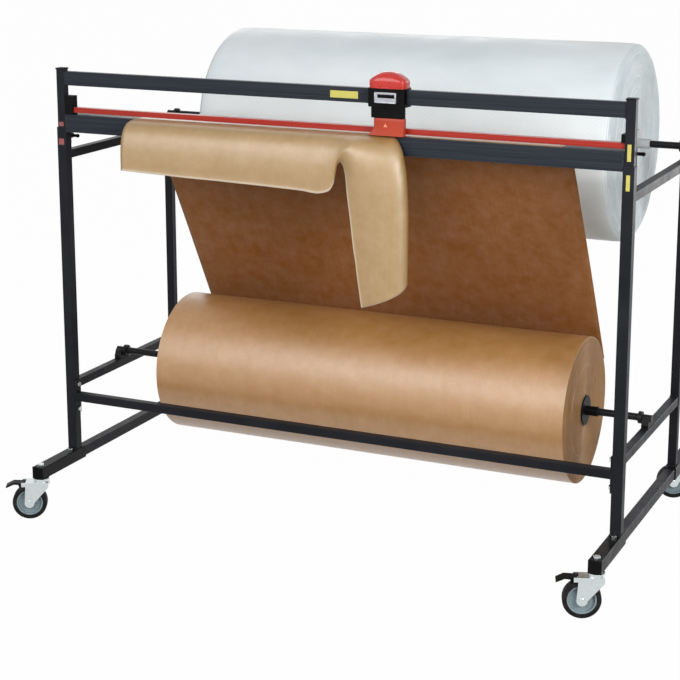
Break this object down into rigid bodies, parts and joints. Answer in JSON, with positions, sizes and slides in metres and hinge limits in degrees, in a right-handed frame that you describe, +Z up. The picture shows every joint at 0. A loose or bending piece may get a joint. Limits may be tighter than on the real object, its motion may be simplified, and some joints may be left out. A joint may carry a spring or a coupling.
{
  "type": "mobile roll cutting stand",
  "caption": "Mobile cutting stand on casters: a wide roll of wrapping paper below, a roll of bubble film behind, and a sliding blade carriage on a guide rail above.",
  "frame": {"origin": "on the floor, under the middle of the outline box, casters trailing as built", "axes": "+X along the rolls to the operator's right, +Y from the operator to the back, +Z up"},
  "size_m": [1.7966, 1.1441, 1.379],
  "materials": {
    "frame_paint": "satin anthracite powder coat",
    "sleeve_paint": "satin black powder coat",
    "cap_plastic": "moulded black plastic",
    "zinc_steel": "bright zinc plate",
    "dark_aluminium": "anthracite coated extrusion",
    "red_aluminium": "red lacquered extrusion",
    "black_plastic": "moulded black plastic",
    "red_plastic": "glossy red moulding",
    "label_metal": "blank brushed label plate",
    "blade_steel": "ground steel",
    "axle_steel": "black oxide steel tube",
    "kraft_paper": "brown kraft paper",
    "core_board": "wound paperboard",
    "bubble_film": "translucent bubble film in layers",
    "pale_plastic": "natural pale moulding",
    "hub_plastic": "grey moulded wheel centre",
    "tyre_rubber": "dark rubber tread"
  },
  "bodies": {
    "frame": {"left_front_post": "frame_paint", "right_front_post": "frame_paint", "left_rear_post": "frame_paint", "right_rear_post": "frame_paint", "left_foot_bar": "frame_paint", "right_foot_bar": "frame_paint", "foot_sleeves": "sleeve_paint", "foot_end_caps": "cap_plastic", "sleeve_bolts": "zinc_steel", "upper_side_rails": "frame_paint", "lower_side_rails": "frame_paint", "lower_cross_rail": "frame_paint", "cross_rail_plates": "frame_paint", "cross_rail_bolts": "zinc_steel", "paper_axle_holders": "sleeve_paint", "film_axle_holders": "sleeve_paint", "clamp_tabs": "frame_paint", "caster_heads": "zinc_steel", "caster_king_bolts": "zinc_steel"},
    "cutting_unit": {"left_upright": "frame_paint", "right_upright": "frame_paint", "upright_caps": "cap_plastic", "guide_rail": "dark_aluminium", "cutting_beam": "dark_aluminium", "pressure_rail": "red_aluminium", "rail_end_blocks": "cap_plastic", "paper_web": "kraft_paper", "paper_strip": "kraft_paper"},
    "carriage": {"carriage_body": "black_plastic", "carriage_dome": "red_plastic", "carriage_shoe": "red_plastic", "carriage_label_plate": "label_metal", "carriage_pins": "zinc_steel"},
    "left_roller": {"left_guide_roller": "black_plastic"},
    "right_roller": {"right_guide_roller": "black_plastic"},
    "blade": {"cutting_blade": "blade_steel"},
    "paper_supply": {"paper_roll": "kraft_paper", "paper_core": "core_board", "paper_core_plugs": "black_plastic", "paper_axle": "axle_steel"},
    "film_supply": {"film_roll": "bubble_film", "film_core": "core_board", "film_core_plugs": "pale_plastic", "film_axle": "axle_steel"},
    "left_clamp": {"left_clamp_lever": "black_plastic"},
    "right_clamp": {"right_clamp_lever": "black_plastic"},
    "front_left_caster": {"front_left_caster_fork": "zinc_steel"},
    "front_left_wheel": {"front_left_wheel_hub": "hub_plastic", "front_left_tyre": "tyre_rubber"},
    "front_left_pedal": {"front_left_brake_pedal": "black_plastic"},
    "front_right_caster": {"front_right_caster_fork": "zinc_steel"},
    "front_right_wheel": {"front_right_wheel_hub": "hub_plastic", "front_right_tyre": "tyre_rubber"},
    "front_right_pedal": {"front_right_brake_pedal": "black_plastic"},
    "rear_left_caster": {"rear_left_caster_fork": "zinc_steel"},
    "rear_left_wheel": {"rear_left_wheel_hub": "hub_plastic", "rear_left_tyre": "tyre_rubber"},
    "rear_right_caster": {"rear_right_caster_fork": "zinc_steel"},
    "rear_right_wheel": {"rear_right_wheel_hub": "hub_plastic", "rear_right_tyre": "tyre_rubber"}
  },
  "joints": [
    {"name": "unit_height", "type": "slide", "parent": "frame", "child": "cutting_unit", "axis": [0, 0, 1], "range_m": [0, 0.1]},
    {"name": "carriage_slide", "type": "slide", "parent": "cutting_unit", "child": "carriage", "axis": [1, 0, 0], "range_m": [-0.926, 0.57]},
    {"name": "blade_spin", "type": "hinge", "parent": "carriage", "child": "blade", "pos_m": [0.219, -0.341, 1.1875], "axis": [0, 1, 0], "continuous": true},
    {"name": "paper_roll_spin", "type": "hinge", "parent": "frame", "child": "paper_supply", "pos_m": [0.033, -0.057, 0.394], "axis": [1, 0, 0], "continuous": true},
    {"name": "film_roll_spin", "type": "hinge", "parent": "frame", "child": "film_supply", "pos_m": [0.033, 0.285, 1.093], "axis": [1, 0, 0], "continuous": true},
    {"name": "left_clamp_turn", "type": "hinge", "parent": "frame", "child": "left_clamp", "pos_m": [-0.802, -0.299, 1.1], "axis": [0, 1, 0], "range_deg": [0, 90]},
    {"name": "right_clamp_turn", "type": "hinge", "parent": "frame", "child": "right_clamp", "pos_m": [0.868, -0.299, 1.157], "axis": [0, 1, 0], "range_deg": [-90, 90]},
    {"name": "left_roller_spin", "type": "hinge", "parent": "carriage", "child": "left_roller", "pos_m": [0.189, -0.3345, 1.2982], "axis": [0, 1, 0], "continuous": true},
    {"name": "right_roller_spin", "type": "hinge", "parent": "carriage", "child": "right_roller", "pos_m": [0.249, -0.3345, 1.2982], "axis": [0, 1, 0], "continuous": true},
    {"name": "front_left_swivel", "type": "hinge", "parent": "frame", "child": "front_left_caster", "pos_m": [-0.802, -0.512, 0.112], "axis": [0, 0, 1], "continuous": true},
    {"name": "front_left_roll", "type": "hinge", "parent": "front_left_caster", "child": "front_left_wheel", "pos_m": [-0.8329, -0.52843, 0.05], "axis": [0.4695, -0.8829, 0], "continuous": true},
    {"name": "front_left_brake", "type": "hinge", "parent": "front_left_caster", "child": "front_left_pedal", "pos_m": [-0.84791, -0.53641, 0.105], "axis": [0.4695, -0.8829, 0], "range_deg": [0, 18]},
    {"name": "front_right_swivel", "type": "hinge", "parent": "frame", "child": "front_right_caster", "pos_m": [0.868, -0.512, 0.112], "axis": [0, 0, 1], "continuous": true},
    {"name": "front_right_roll", "type": "hinge", "parent": "front_right_caster", "child": "front_right_wheel", "pos_m": [0.83511, -0.52397, 0.05], "axis": [0.342, -0.9397, 0], "continuous": true},
    {"name": "front_right_brake", "type": "hinge", "parent": "front_right_caster", "child": "front_right_pedal", "pos_m": [0.81914, -0.52979, 0.105], "axis": [0.342, -0.9397, 0], "range_deg": [0, 18]},
    {"name": "rear_left_swivel", "type": "hinge", "parent": "frame", "child": "rear_left_caster", "pos_m": [-0.802, 0.438, 0.112], "axis": [0, 0, 1], "continuous": true},
    {"name": "rear_left_roll", "type": "hinge", "parent": "rear_left_caster", "child": "rear_left_wheel", "pos_m": [-0.83564, 0.42835, 0.05], "axis": [0.2756, -0.9613, 0], "continuous": true},
    {"name": "rear_right_swivel", "type": "hinge", "parent": "frame", "child": "rear_right_caster", "pos_m": [0.868, 0.438, 0.112], "axis": [0, 0, 1], "continuous": true},
    {"name": "rear_right_roll", "type": "hinge", "parent": "rear_right_caster", "child": "rear_right_wheel", "pos_m": [0.83471, 0.42718, 0.05], "axis": [0.309, -0.9511, 0], "continuous": true}
  ],
  "couplings": [
    {"joint": "left_roller_spin", "follows": "carriage_slide", "rad_per_m": 142.86},
    {"joint": "right_roller_spin", "follows": "carriage_slide", "rad_per_m": 142.86}
  ]
}
